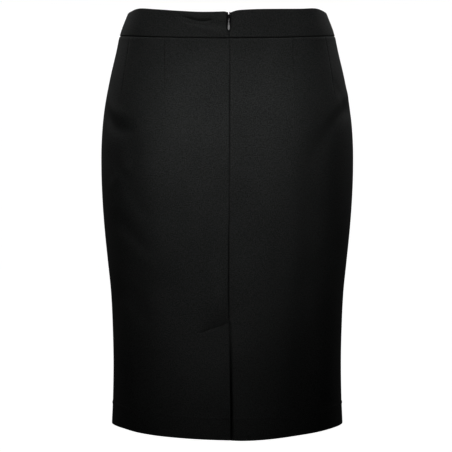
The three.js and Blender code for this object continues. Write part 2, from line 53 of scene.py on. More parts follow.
# %% [markdown]
# The camera stands straight behind the skirt, level with its waistband, and is tipped down a little to take
# in the hem. That is why the hem's curve shows so much and the waist's so little. A long lens from two and a
# half metres gives the same gentle perspective as a studio picture.

# %% Camera
CAMERA_AWAY = 2.450
CAMERA_DROP = 0.0943             # below the top of the waistband
CAMERA_ASIDE = -0.0018           # the skirt stands a hair to the right in the picture
CAMERA_TIP = 5.015               # degrees below level
LENS = 133.25                    # millimetres, on a sensor 36 wide

camera = bpy.data.objects.new("camera", bpy.data.cameras.new("camera"))
bpy.context.collection.objects.link(camera)
camera.data.lens = LENS
camera.data.sensor_width = 36
camera.data.clip_end = 60
camera.location = (CAMERA_ASIDE, -CAMERA_AWAY, -CAMERA_DROP)
camera.rotation_euler = (math.radians(90 - CAMERA_TIP), 0, 0)
bpy.context.scene.camera = camera
bpy.context.scene.view_settings.view_transform = "Standard"
bpy.context.scene.view_settings.gamma = 0.8        # the picture's own contrast
print("camera at", [round(part, 3) for part in camera.location])

# %% [markdown]
# Shader maths reads best as plain sums. A `Wire` is one output socket; the signs + - * on it add Math nodes,
# whichever side the number stands on. Every other node comes from `Finish.node`, which sets the node's own
# settings first and then fills or links its sockets, each found by its name or its place.

# %% Wires and finishes
class Wire:
    """An output socket that can stand in a sum."""

    def __init__(self, socket):
        self.socket = socket
        self.tree = socket.id_data

    def maths(self, operation, *values):
        node = self.tree.nodes.new("ShaderNodeMath")
        node.operation = operation
        for socket, value in zip(node.inputs, values):
            plug_in(self.tree, socket, value)
        return Wire(node.outputs[0])

    def __add__(self, other):
        return self.maths("ADD", self, other)

    def __sub__(self, other):
        return self.maths("SUBTRACT", self, other)

    def __rsub__(self, other):
        return self.maths("SUBTRACT", other, self)

    def __mul__(self, other):
        return self.maths("MULTIPLY", self, other)

    __radd__, __rmul__ = __add__, __mul__

    def sine(self):
        return self.maths("SINE", self)


def plug_in(tree, socket, value):
    """Links a wire to a socket, or sets the socket to a plain value."""
    if isinstance(value, Wire):
        tree.links.new(value.socket, socket)
    else:
        socket.default_value = value


class Finish:
    """The nodes of a material or of the world, added one call at a time."""

    def __init__(self, owner, shader="Principled BSDF"):
        owner.use_nodes = True
        self.owner = owner
        self.tree = owner.node_tree
        self.shader = self.tree.nodes[shader]

    def node(self, kind, settings, sockets, output=0):
        node = self.tree.nodes.new("ShaderNode" + kind)
        for key, value in settings.items():
            setattr(node, key, value)
        for key, value in sockets.items():
            plug_in(self.tree, node.inputs[key], value)
        return Wire(node.outputs[output])

    def blend(self, share, dark, light):
        """The colour that lies that share of the way from a dark one to a light one."""
        return self.node("Mix", {"data_type": "RGBA"}, {0: share, 6: dark, 7: light}, output=2)

    def surface(self, sockets):
        for key, value in sockets.items():
            plug_in(self.tree, self.shader.inputs[key], value)
        print(f"{self.owner.name}: {len(self.tree.nodes)} nodes")
        return self.owner


# %% [markdown]
# Suiting is a plain weave: threads go over and under each other, about twenty-two to the centimetre. Each
# cloth piece carries a UV map in metres, measured along its own threads, so the weave follows the cut and
# turns with a folded edge. The threads are far finer than a pixel from here, so what shows is their
# unevenness: faint slubs along both threads, and a grain a millimetre or two across.

# %% Suiting
THREAD = 0.00045                 # spacing of the threads, in metres
CLOTH_BLACK = (0.0121, 0.0128, 0.0126, 1)
CLOTH_GREY = (0.0404, 0.0421, 0.0412, 1)
GRAIN_LEVEL = 1.98               # the sum of the noises at which the cloth is at its blackest


def plain_weave(finish, along):
    """The height of the threads of a plain weave, from 0 to 1."""
    across = finish.node("SeparateXYZ", {}, {0: along}, output=0)
    down = finish.node("SeparateXYZ", {}, {0: along}, output=1)
    turn = math.pi / THREAD
    return (across * turn).sine() * (down * turn).sine() * 0.5 + 0.5


def stretched_noise(finish, along, sideways, downwards):
    """Noise on the cut, as many blotches a metre each way as the two numbers say."""
    scaled = finish.node("VectorMath", {"operation": "MULTIPLY"}, {0: along, 1: (sideways, downwards, 1)})
    return finish.node("TexNoise", {}, {"Vector": scaled, "Scale": 1.0, "Detail": 2.0, "Roughness": 0.6})


def suiting():
    cloth = Finish(bpy.data.materials.new("suiting"))
    along = cloth.node("UVMap", {"uv_map": "cut"}, {})
    weave = plain_weave(cloth, along)
    grain = stretched_noise(cloth, along, 660, 660)
    warp_slub = stretched_noise(cloth, along, 900, 160)
    weft_slub = stretched_noise(cloth, along, 150, 900)
    cloudy = stretched_noise(cloth, along, 14, 14)
    speck = cloth.node("TexVoronoi", {}, {"Vector": along, "Scale": 950.0}, output=1)
    uneven = grain * 2.7 + speck * 0.25 + warp_slub * 0.9 + weft_slub * 0.7 + cloudy * 0.4
    relief = weave * 0.5 + grain * 0.3 + warp_slub * 0.25 + weft_slub * 0.25
    return cloth.surface({
        "Base Color": cloth.blend(uneven - GRAIN_LEVEL, CLOTH_BLACK, CLOTH_GREY),
        "Roughness": grain * 0.12 + 0.72,
        "Normal": cloth.node("Bump", {}, {"Height": relief, "Strength": 0.35, "Distance": 0.00025}),
        "Specular IOR Level": 0.14,
    })


SUITING = suiting()

# %% [markdown]
# The other finishes are small: a dull tape, nylon teeth, sewing thread, a dark enamelled slider and the
# softly polished grey pull. Each still has its own grain, since a perfectly even surface reads as plastic.

# %% Tape, teeth, thread and metal
def small_finish(name, colour, roughness, metallic, grain_size, grain_share, bump):
    finish = Finish(bpy.data.materials.new(name))
    where = finish.node("TexCoord", {}, {}, output="Object")
    grain = finish.node("TexNoise", {}, {"Vector": where, "Scale": grain_size, "Detail": 3.0})
    dark, light = (tuple(part * (1 + way * grain_share) for part in colour) + (1,) for way in (-1, 1))
    return finish.surface({
        "Base Color": finish.blend(grain, dark, light),
        "Roughness": grain * 0.15 + roughness,
        "Metallic": metallic,
        "Normal": finish.node("Bump", {}, {"Height": grain, "Strength": bump, "Distance": 0.0001}),
    })


TAPE = small_finish("zip_tape", (0.010, 0.010, 0.011), 0.7, 0.0, 1800, 0.4, 0.4)
TEETH = small_finish("zip_teeth", (0.012, 0.012, 0.013), 0.35, 0.0, 900, 0.2, 0.1)
THREADS = small_finish("sewing_thread", (0.008, 0.008, 0.009), 0.6, 0.0, 4000, 0.4, 0.5)
SLIDER = small_finish("slider_metal", (0.022, 0.022, 0.023), 0.32, 1.0, 900, 0.15, 0.15)
PULL = small_finish("tab_metal", (0.34, 0.34, 0.345), 0.38, 1.0, 700, 0.12, 0.12)

# %% [markdown]
# The body's form. Places on the cloth are given as a dressmaker would give them: `round` is the distance
# round the body from the middle of the back, and `drop` the distance below the waist. A few measured
# sections, joined by smooth curves, give the form at any drop; each is a slightly squared oval.

# %% Measures
SEAM_GAP = 0.3
PANEL = 1.4                      # the frame's walls, which the cloth lies in
BAND = 2.4
BAND_DROP = 37
HEM_DROP = 602.5
HEM_TURN = 31
SIDE_FORWARD = 4
VENT_DROP = 434
VENT_SLANT = 15
VENT_WIDTH = 40
ZIP_TOP = 2
ZIP_END = 205
DART_LENGTH = 95
FRONT_DART_LENGTH = 80
FRONT_DART_SHARE = 0.36
BACK_ROUNDNESS = 2.15
FRONT_ROUNDNESS = 2.2


def table(columns, *rows):
    """A table by column name."""
    return {name: np.array(values, float) for name, values in zip(columns.split(), zip(*rows))}


SECTIONS = table(
    "drop half back front",
    (-4, 142.8, 99.1, 97.0),
    (10, 147.9, 102.2, 100.5),
    (30, 154.5, 106.7, 106.0),
    (60, 161.1, 114.5, 111.5),
    (96, 170.1, 126.0, 115.5),
    (140, 178.7, 138.5, 117.8),
    (184, 182.8, 146.3, 118.2),
    (228, 183.5, 148.5, 117.7),
    (272, 182.1, 145.8, 117.0),
    (316, 179.1, 140.5, 116.5),
    (360, 174.9, 134.8, 116.0),
    (404, 170.7, 130.0, 115.7),
    (450, 168.6, 126.6, 115.5),
    (510, 167.6, 124.0, 115.3),
    (570, 168.8, 122.6, 115.6),
    (604, 170.4, 122.3, 116.2),
)
CENTRE_LINE = table(
    "drop round", (-4, 2.0), (30, 2.3), (68, 3.3), (124, 3.1), (230, 2.8), (316, 1.8), (385, 1.8),
    (440, 2.4), (500, 3.2), (604, 4.2))
RISE = table(
    "turn top seam hem",
    (-180, 0.5, 3.0, 1.5),
    (-120, 0.0, 4.0, 1.5),
    (-90, -0.6, 4.6, 2.0),
    (-74, 2.0, 4.4, 4.2),
    (-60, 5.5, 3.6, 5.0),
    (-44, 3.7, 2.2, 3.0),
    (-27, 0.9, 0.9, 2.2),
    (-13, -0.9, 0.2, 1.2),
    (0, -0.2, 0.0, 0.2),
    (6, 1.6, 0.0, -0.7),
    (15, 2.9, 0.3, -0.2),
    (29, 3.6, 1.0, 1.8),
    (44, 4.3, 2.2, 3.4),
    (60, 5.6, 3.6, 4.8),
    (74, 2.4, 4.4, 4.2),
    (90, -0.6, 4.6, 2.0),
    (120, 0.0, 4.0, 1.5),
    (180, 0.5, 3.0, 1.5),
)


def read(rows, by, column, at):
    """A smooth curve through one column of a table, read at any values of another."""
    xs, ys = rows[by], rows[column]
    slopes = np.gradient(ys, xs)
    slopes[1:-1] = (ys[2:] - ys[:-2]) / (xs[2:] - xs[:-2])
    at = np.clip(at, xs[0], xs[-1])
    i = np.clip(np.searchsorted(xs, at) - 1, 0, len(xs) - 2)
    span = xs[i + 1] - xs[i]
    t = (at - xs[i]) / span
    return ((2 * t ** 3 - 3 * t ** 2 + 1) * ys[i] + (t ** 3 - 2 * t ** 2 + t) * span * slopes[i]
            + (3 * t ** 2 - 2 * t ** 3) * ys[i + 1] + (t ** 3 - t ** 2) * span * slopes[i + 1])


def soft_step(low, high, value):
    t = np.clip((value - low) / (high - low), 0, 1)
    return t * t * (3 - 2 * t)


def centre_line(drop):
    return read(CENTRE_LINE, "drop", "round", drop)


# %% [markdown]
# To go from a distance round the body to a point on it, the oval has to be walked. That is done once, for a
# ladder of drops and a fan of directions, and every later question is answered by looking between them.

# %% Walking round the body
LADDER = np.arange(-8.0, 612.0, 5.0)
FAN = np.linspace(0.0, 180.0, 721)


def oval(turn, drop):
    """The smooth body's point in each direction, in millimetres, with the way out of the cloth there."""
    angle = np.radians(turn)
    is_front = np.cos(angle) < 0
    half = read(SECTIONS, "drop", "half", drop)
    depth = np.where(is_front, read(SECTIONS, "drop", "front", drop), read(SECTIONS, "drop", "back", drop))
    power = np.where(is_front, FRONT_ROUNDNESS, BACK_ROUNDNESS)
    x = half * np.sign(np.sin(angle)) * np.abs(np.sin(angle)) ** (2 / power)
    y = -depth * np.sign(np.cos(angle)) * np.abs(np.cos(angle)) ** (2 / power)
    out_x = np.sign(x) * np.abs(x / half) ** (power - 1) / half
    out_y = np.sign(y) * np.abs(y / depth) ** (power - 1) / depth
    size = np.hypot(out_x, out_y)
    return x, y, out_x / size, out_y / size


fan_x, fan_y, _, _ = oval(FAN[None, :], LADDER[:, None])
steps = np.hypot(np.diff(fan_x, axis=1), np.diff(fan_y, axis=1))
walked = np.concatenate([np.zeros((len(LADDER), 1)), np.cumsum(steps, axis=1)], axis=1)
SHARES = np.linspace(0.0, 1.0, 721)
turn_at_share = np.array([np.interp(SHARES * row[-1], row, FAN) for row in walked])


def half_girth(drop):
    return np.interp(drop, LADDER, walked[:, -1])


def quarter(drop):
    """Distance from the middle of the back to the widest line."""
    return np.interp(drop, LADDER, walked[:, len(FAN) // 2])


def turn_at(round_, drop):
    """The direction, in degrees, of a place that far round the body."""
    girth = 2 * half_girth(drop)
    signed = (round_ + girth / 2) % girth - girth / 2
    share = np.abs(signed) / (girth / 2) * (len(SHARES) - 1)
    rung = np.clip((drop - LADDER[0]) / (LADDER[1] - LADDER[0]), 0, len(LADDER) - 1.001)
    k, j = np.minimum(share.astype(int), len(SHARES) - 2), rung.astype(int)
    s, r = share - k, rung - j
    grid = turn_at_share
    turn = ((grid[j, k] * (1 - s) + grid[j, k + 1] * s) * (1 - r)
            + (grid[j + 1, k] * (1 - s) + grid[j + 1, k + 1] * s) * r)
    return turn * np.where(signed < 0, -1, 1)


print("half girth at waist, hips, hem:", [round(float(half_girth(d))) for d in (0, 214, HEM_DROP)])

# %% [markdown]
# The folds. Cloth over a hip is never smooth: it pulls in a curved crease below each hip bone, hangs in
# long soft hollows down the thighs, and puckers beside the zip. Each is a soft trough or ridge along a line,
# no two alike. The large ones are the frame's own, and the small ones are added here. `bow` bends the line,
# `width` is how soft it is, and a negative `depth` goes in.

# %% Folds
FOLDS = table(
    "round0 drop0 round1 drop1 bow width depth",
    (-220, 140, -152, 168, 7, 11, -3.6),
    (-147, 165, -140, 270, 0, 17, -2.6),
    (-182, 290, -118, 340, -3, 13, -2.5),
    (-176, 316, -96, 362, -3, 12, 1.4),
    (-180, 396, -116, 436, -2, 14, -2.7),
    (224, 138, 148, 174, 8, 11, -3.8),
    (152, 172, 110, 256, 6, 18, -2.4),
    (58, 262, 52, 388, 0, 15, 2.5),
    (178, 318, 120, 372, -4, 14, -2.4),
    (150, 436, 96, 560, 0, 30, -3.4),
    (-4, 292, -4, 370, 0, 7, -0.8),
    (-62, 8, -1, 18, 3, 5, -0.9),
    (-44, 20, -6, 29, 2, 4, 0.7),
    (288, 148, 352, 178, -6, 14, -2.4),
    (330, 300, 392, 352, 3, 14, -1.8),
    (470, 262, 476, 410, 0, 18, 1.6),
    (-286, 146, -356, 182, 6, 14, -2.6),
    (-340, 320, -300, 362, 4, 13, -1.7),
    (-400, 430, -368, 556, 0, 26, -2.2),
)
WRINKLES = table(
    "round0 drop0 round1 drop1 bow width depth",
    (-58, 9, -41, 12.5, 0.5, 1.8, -1.2),
    (-41, 13.5, -23, 11.5, 0.8, 1.8, -1.6),
    (-60, 15, -50, 17, 0, 1.8, -0.6),
    (-46, 17, -30, 19, 0.5, 1.8, -0.7),
    (-70, 3, -30, 7, 1, 3.0, 0.5),
    (-214, 119, -152, 146, 6, 8, 1.5),
    (226, 118, 150, 150, 8, 8, 1.5),
    (-180, 48, -138, 47, 0, 2.4, -0.6),
    (141, 48, 200, 46, 0, 2.4, -0.6),
    (-196, 196, -150, 236, 4, 8, -1.3),
    (-196, 246, -146, 214, 3, 8, 0.8),
    (-160, 240, -112, 286, 3, 10, -1.2),
    (-156, 390, -124, 414, -2, 8, -1.3),
    (-164, 512, -118, 534, 2, 10, -1.3),
    (-112, 150, -104, 330, 0, 20, 1.5),
    (-150, 300, -132, 470, 0, 18, -2.6),
    (-130, 480, -122, 600, 0, 18, -2.4),
    (98, 130, 86, 460, 0, 18, 1.5),
    (126, 205, 112, 520, 0, 20, -3.8),
    (122, 470, 108, 600, 0, 28, -3.4),
    (160, 96, 196, 132, -3, 7, -0.7),
    (60, 200, 57, 400, 0, 9, 1.3),
    (20, 205, 26, 262, 0, 9, -0.5),
    (-30, 180, -34, 250, 0, 12, 0.4),
    (300, 250, 372, 286, 3, 9, -1.0),
    (-300, 236, -366, 276, 4, 9, -1.0),
    (384, 132, 400, 250, 0, 16, 0.9),
    (-260, 60, -300, 66, 0, 4, -0.5),
    (420, 470, 452, 560, 0, 20, -1.2),
)


DARTS = {
    "left outer": (-153, -168),
    "left inner": (-91, -90),
    "right inner": (94, 98),
    "right outer": (155, 173),
}


def dart_line(dart, drop):
    top, tip = DARTS[dart]
    tip_drop = BAND_DROP + DART_LENGTH
    inside = top + (tip - top) * (drop - BAND_DROP) / DART_LENGTH
    return np.where(drop < tip_drop, inside, tip * quarter(drop) / quarter(tip_drop))


def dart_fade(drop, length=DART_LENGTH):
    """A dart's line grows shallow over the last part of its length."""
    return 1 - soft_step(0.6, 1.02, (drop - BAND_DROP) / length)


def relief(places, round_, drop):
    """How far the cloth stands out from the smooth body because of a table of folds."""
    girth = 2 * half_girth(drop)
    total = np.zeros(np.broadcast(round_, drop).shape)
    for r0, d0, r1, d1, bow, width, depth in zip(*places.values()):
        length = math.hypot(r1 - r0, d1 - d0)
        way = ((r1 - r0) / length, (d1 - d0) / length)
        away = (round_ - r0 + girth / 2) % girth - girth / 2
        share = (away * way[0] + (drop - d0) * way[1]) / length
        across = (drop - d0) * way[0] - away * way[1] - bow * (1 - (2 * share - 1) ** 2)
        fade = soft_step(-0.3, 0.25, share) * (1 - soft_step(0.75, 1.3, share))
        total += depth * fade * np.exp(-((across / width) ** 2))
    return total


SEAM_RISE_ENDS, HEM_RISE_STARTS = 160, 440         # drops between which the cloth's levels are even


def height(turn, drop):
    """The height of a place, with the curves of the top edge, the waistband seam and the hem."""
    top, seam, hem = (read(RISE, "turn", edge, turn) for edge in ("top", "seam", "hem"))
    in_band = top + (seam - top) * np.clip(drop / BAND_DROP, 0, 1)
    below = seam * (1 - soft_step(BAND_DROP, SEAM_RISE_ENDS, drop))
    below = below + hem * soft_step(HEM_RISE_STARTS, HEM_DROP, drop)
    return -drop + np.where(drop <= BAND_DROP, in_band, below)


# %% [markdown]
# The vent's facing is held by a slanting row of stitches, and it is heavier than the single cloth above it.
# So the panel bags out a little over the row and dives in to it. The bag is a curve worked out from the
# distance above the row, since it has to end exactly along the stitches.

# %% The bag over the vent
POUCH_SLOPE = 0.3                # how steeply the cloth dives in to the vent's slanting stitches
POUCH_TUCK = (1.1, 0.9)          # how deep and how wide the tuck along them is
POUCH_REACH = table(             # how far above them the dive starts, by the place along the row
    "share reach", (-0.05, 0), (0.12, 22), (0.4, 33), (0.55, 31), (0.8, 17), (0.95, 6), (1.05, 2),
    (1.15, 0))
POUCH_FADE = 85                  # the bag is gone this much further up


def pouch(round_, drop):
    """The cloth bags a little above the slanting stitches, and tucks in along them."""
    share = (centre_line(drop) - round_) / VENT_WIDTH
    above = np.maximum(VENT_DROP + VENT_SLANT * np.clip(share, 0, 1.2) - drop, 0)
    reach = np.maximum(read(POUCH_REACH, "share", "reach", np.clip(share, -0.05, 1.15)), 0.01)
    rise = POUCH_SLOPE * reach * (1 - np.exp(-above / (0.6 * reach)))
    from_row = drop - VENT_DROP - VENT_SLANT * share
    tuck = POUCH_TUCK[0] * np.exp(-((from_row / POUCH_TUCK[1]) ** 2))
    tuck = tuck * soft_step(0.0, 0.06, share) * (1 - soft_step(0.9, 1.06, share))
    return rise * (1 - soft_step(0, 1, (above - reach) / POUCH_FADE)) - tuck


FACET, FACET_REACH = 0.6, 12


def facets(round_, drop):
    """The cloth is a little flatter between darts, and turns at each one."""
    total = np.zeros(round_.shape)
    for dart in DARTS:
        away = np.abs(round_ - dart_line(dart, drop))
        total += FACET * dart_fade(drop) * np.exp(-away / FACET_REACH)
    return total * soft_step(BAND_DROP + 1, BAND_DROP + 14, drop)


# %% Any place on the finished cloth
def on_body(round_, drop, out=0.0):
    """Points in metres at places on the cloth, `out` millimetres out from the smooth body and its folds."""
    round_, drop, out = np.broadcast_arrays(*(np.asarray(v, float) for v in (round_, drop, out)))
    turn = turn_at(round_, drop)
    x, y, out_x, out_y = oval(turn, drop)
    away = out + relief(FOLDS, round_, drop) + relief(WRINKLES, round_, drop)
    away = away + facets(round_, drop) + pouch(round_, drop)
    return np.stack([x + out_x * away, y + out_y * away, height(turn, drop)], axis=-1) * MM


print("the back's middle at the hips:", on_body(0, 214).round(4))
print("and at the hem:", on_body(0, HEM_DROP).round(4))

# %% [markdown]
# A piece of cloth is a grid of places, one row for each level and one column for each line down the cut.
# Where an edge is folded under, the columns or rows simply go round the fold and come back behind. The grid
# is the middle of the cloth; Blender's Solidify then gives it a real thickness, with its raw edges closed.

# %% Cloth sheets
CLOTH = 0.7                      # thickness of the suiting
FOLD = 0.5                       # radius at the middle of the cloth where it is folded flat
FOLD_STEPS = 5


class Columns:
    """Lines down the cut: where each runs at every level, and how far out it lies."""

    def __init__(self, levels):
        self.levels = levels
        self.round, self.out = [], []

    def add(self, round_, out=0.0):
        """One more line, whose place and inset may change from level to level."""
        self.round.append(np.broadcast_to(round_, self.levels.shape).astype(float))
        self.out.append(np.broadcast_to(out, self.levels.shape).astype(float))
        return self

    def run(self, to, count, out=0.0):
        """That many more lines, evenly spaced from the last one to a new place."""
        start, start_out = self.round[-1], self.out[-1]
        for step in range(1, count + 1):
            share = step / count
            self.add(start + (to - start) * share, start_out + (out - start_out) * share)
        return self

    def grid(self):
        return np.array(self.round).T, np.array(self.out).T


def walk(rows, columns):
    """Length walked along each row of a grid, from its steps, as a map of the flat cut."""
    return np.concatenate([np.zeros((rows.shape[0], 1)), np.cumsum(np.hypot(rows, columns), axis=1)], axis=1)


def sheet_mesh(round_, drop, out, keep=None, thickness=CLOTH):
    """A closed mesh of cloth round a grid of places, with the UV map `cut` in metres."""
    rows, columns = round_.shape
    points = on_body(round_, drop, out).reshape(-1, 3)
    across = walk(np.diff(round_, axis=1), np.diff(out, axis=1))
    down = walk(np.diff(drop.T, axis=1), np.diff(out.T, axis=1)).T
    index = np.arange(rows * columns).reshape(rows, columns)
    cells = np.stack([index[:-1, :-1], index[1:, :-1], index[1:, 1:], index[:-1, 1:]], axis=-1)
    if keep is not None:
        cells = cells[keep]
    cells = cells.reshape(-1, 4)
    mesh = bpy.data.meshes.new("sheet")
    mesh.from_pydata(points.tolist(), [], cells.tolist())
    uv = np.stack([across.ravel(), -down.ravel()], axis=-1)[cells.ravel()] * MM
    mesh.uv_layers.new(name="cut").data.foreach_set("uv", uv.ravel())
    mesh.polygons.foreach_set("use_smooth", [True] * len(mesh.polygons))
    return thickened(mesh, thickness)


def thickened(mesh, thickness):
    """The mesh with a real thickness, half to each side."""
    holder = bpy.data.objects.new("holder", mesh)
    bpy.context.collection.objects.link(holder)
    wall = holder.modifiers.new("thickness", "SOLIDIFY")
    wall.thickness = thickness * MM
    wall.offset = 0
    wall.use_even_offset = True
    solid = bpy.data.meshes.new_from_object(holder.evaluated_get(bpy.context.evaluated_depsgraph_get()))
    bpy.data.objects.remove(holder)
    bpy.data.meshes.remove(mesh)
    tidy_loose(solid)
    return solid


def tidy_loose(mesh):
    """Drops points that no face uses, such as those of cells left out of a grid."""
    used = np.zeros(len(mesh.vertices), bool)
    corners = np.empty(len(mesh.loops), int)
    mesh.loops.foreach_get("vertex_index", corners)
    used[corners] = True
    if used.all():
        return
    work = bmesh.new()
    work.from_mesh(mesh)
    bmesh.ops.delete(work, geom=[v for v in work.verts if not v.link_faces], context="VERTS")
    work.to_mesh(mesh)
    work.free()


# %% A named piece
def piece(name, meshes, material, slot, body, *nodes):
    """One named piece from one or more meshes, riding on a body and standing for its nodes."""
    made = bpy.data.objects.new(name, meshes[0])
    bpy.context.collection.objects.link(made)
    if len(meshes) > 1:
        others = [bpy.data.objects.new("part", mesh) for mesh in meshes[1:]]
        for other in others:
            bpy.context.collection.objects.link(other)
        with bpy.context.temp_override(active_object=made, selected_editable_objects=[made, *others]):
            bpy.ops.object.join()
    made.data.name = name
    made.data.materials.clear()
    made.data.materials.append(material)
    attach(made, body)
    if nodes:
        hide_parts(*nodes)
    print(f"{name}: {len(made.data.polygons)} faces")
    return made


# %% [markdown]
# Levels and edges that all the panels share. A hem is the panel itself turned up inside: past the hem line
# the levels go round the fold and back up. Beside a seam the cloth's edge rolls in, which is what makes the
# line that shows. A dart is a seam too, and its line grows shallow towards its tip.

# %% Shared edges
LEVEL_STEP = 3.2
FINE_STEP = 1.0                  # between levels at the vent's top and at the hem's edge
HEM_STEPS = 6
UNDER_BAND = (-1.2, 0.0, 0.35, 0.8, 1.4, 2.4, 4.0, 6.0)
STRETCHES = (                    # where the levels start and end, and how far apart they are
    (46, 416, LEVEL_STEP), (416, 456, FINE_STEP), (456, 564, LEVEL_STEP), (564, 579, FINE_STEP),
    (579, HEM_DROP - FOLD, LEVEL_STEP))
EDGE_ROLL = ((0.0, -1.3), (0.12, -0.7), (0.35, -0.28), (0.8, -0.06), (1.6, 0.0))
DART_ROLL = (
    (-3.2, 0.0), (-1.2, -0.06), (-0.45, -0.42), (0.0, -1.4), (0.45, -0.42), (1.2, -0.06), (3.2, 0.0))
DART_CLEAR = 6.0                 # evenly spaced columns stop this far before a dart


def panel_levels():
    """Drop and inset of each level of a panel, from under the waistband down, round the hem and up."""
    drops = list(BAND_DROP + np.array(UNDER_BAND))
    for start, end, step in STRETCHES:
        drops += list(np.linspace(start, end, round((end - start) / step) + 1)[:-1])
    drops.append(HEM_DROP - FOLD)
    outs = [0.0] * len(drops)
    for step in range(1, FOLD_STEPS + 1):
        angle = math.pi * step / FOLD_STEPS
        drops.append(HEM_DROP - FOLD + FOLD * math.sin(angle))
        outs.append(-FOLD * (1 - math.cos(angle)))
    for step in range(1, HEM_STEPS + 1):
        drops.append(HEM_DROP - FOLD - (HEM_TURN - FOLD) * step / HEM_STEPS)
        outs.append(-2 * FOLD)
    return np.array(drops), np.array(outs)


HEM_EDGE = HEM_DROP - HEM_TURN       # where the turned-up edge lies, inside
PRESSED = (                      # what the iron leaves: the drop, how far out, and how wide
    (BAND_DROP, -3.3, 0.7), (BAND_DROP, -0.3, 3.0), (HEM_EDGE, 0.7, 1.7))
HEM_OUT = 0.16                   # the doubled hem stands out by this much


def in_hem(drop):
    return soft_step(HEM_EDGE - 2, HEM_EDGE + 2, drop)


def common_relief(drop):
    """What every panel does at a level: drawn in under the waistband, and a faint ridge at the hem."""
    lines = sum(out * np.exp(-(((drop - level) / width) ** 2)) for level, out, width in PRESSED)
    return lines + HEM_OUT * in_hem(drop)


LEVELS, LEVEL_OUT = panel_levels()
IN_HEM = in_hem(LEVELS)
print(f"each panel has {len(LEVELS)} levels")


def add_dart(columns, line, length=DART_LENGTH):
    """The rolled-in line of a dart, as deep as it is at each level."""
    fade = dart_fade(columns.levels, length)
    for away, inset in DART_ROLL:
        columns.add(line + away, inset * fade)


SLANT_NEAR, SLANT_ENDS = 60, 130


def slanted(drop, from_centre):
    """Levels near the vent's top follow its slanting line."""
    near = 1 - np.minimum(1, np.abs(drop - VENT_DROP) / SLANT_NEAR)
    fall = np.clip(from_centre / VENT_WIDTH, 0, 1) * (1 - soft_step(SLANT_NEAR, SLANT_ENDS, from_centre))
    return drop + VENT_SLANT * near * fall


# %% [markdown]
# The left back panel. At the centre back its edge is folded under: as a narrow seam allowance down to the
# vent, and as a facing forty millimetres wide beside it. The fold is one with the panel, so the vent's edge
# is a soft round fold, as pressed cloth has, and not a cut.

# %% Left back panel
ALLOWANCE = 14
LAYER = 2 * FOLD                 # from the middle of one layer to the middle of the next
SEAM_OPEN = table(
    "drop each", (37, 0.0), (60, 0.12), (92, 0.3), (116, 0.42), (190, 0.3), (240, 0.2), (290, 0.35),
    (330, 0.6), (425, 0.6), (440, 0.0))


def centre_edge(drop, way):
    """The edge of the cloth at the centre back: the seam gapes a little over the zip and above the vent."""
    return centre_line(drop) + way * (SEAM_GAP / 2 + read(SEAM_OPEN, "drop", "each", drop))


def side_edge(drop, way, gap=-SEAM_GAP / 2):
    """The side seam, `way` being -1 for the left; the back's cloth stops before it and the front's after."""
    return way * (quarter(drop) + SIDE_FORWARD + gap)


def back_left():
    levels = LEVELS
    columns = Columns(levels)
    edge = centre_edge(levels, -1)
    side = side_edge(levels, -1)
    for away, inset in EDGE_ROLL:
        columns.add(side + away, inset)
    outer, inner = dart_line("left outer", levels), dart_line("left inner", levels)
    columns.run(outer - DART_CLEAR, 27)
    add_dart(columns, outer)
    columns.run(inner - DART_CLEAR, 18)
    add_dart(columns, inner)
    columns.run(edge - 3, 26)
    columns.run(edge - FOLD, 2)
    layer = FOLD * (1 + IN_HEM)          # the fold is wider where the hem lies inside it
    for step in range(1, FOLD_STEPS + 1):
        angle = math.pi * step / FOLD_STEPS
        columns.add(edge - FOLD + FOLD * math.sin(angle), -layer * (1 - math.cos(angle)))
    width = ALLOWANCE + (VENT_WIDTH - ALLOWANCE) * (levels > VENT_DROP + 1)
    columns.run(edge - FOLD - width, 9, -2 * layer)
    round_, out = columns.grid()
    drop = slanted(levels[:, None], edge[:, None] - round_)
    return sheet_mesh(round_, drop, out + LEVEL_OUT[:, None] + common_relief(drop))


# %% [markdown]
# The right back panel. Above the vent it ends in the same rolled edge, with its own allowance pressed back.
# Below, it runs on as the underlap: it dips behind the left panel and goes on forty millimetres, which is
# why a dark slit opens towards the hem between the left edge and the first lit cloth of the right side.

# %% Right back panel
UNDERLAP_OUT = -(2 * LAYER + CLOTH + 0.1)
UNDERLAP_FALL = 8                # how much deeper the underlap lies at the hem
UNDERLAP_LENGTH = 110            # and how far down it gets there
BESIDE_VENT = table(             # how much of that depth is left, by the distance from the vent's edge
    "away share", (0, 1.0), (1.6, 0.95), (2.4, 0.75), (3.4, 0.38), (4.6, 0.19), (6.2, 0.1), (8.2, 0.05),
    (11, 0.02), (15, 0))
SAG = 0.2                        # the cloth beside the vent hangs lower, the further in it falls
UNDERLAP_COLUMNS = 12


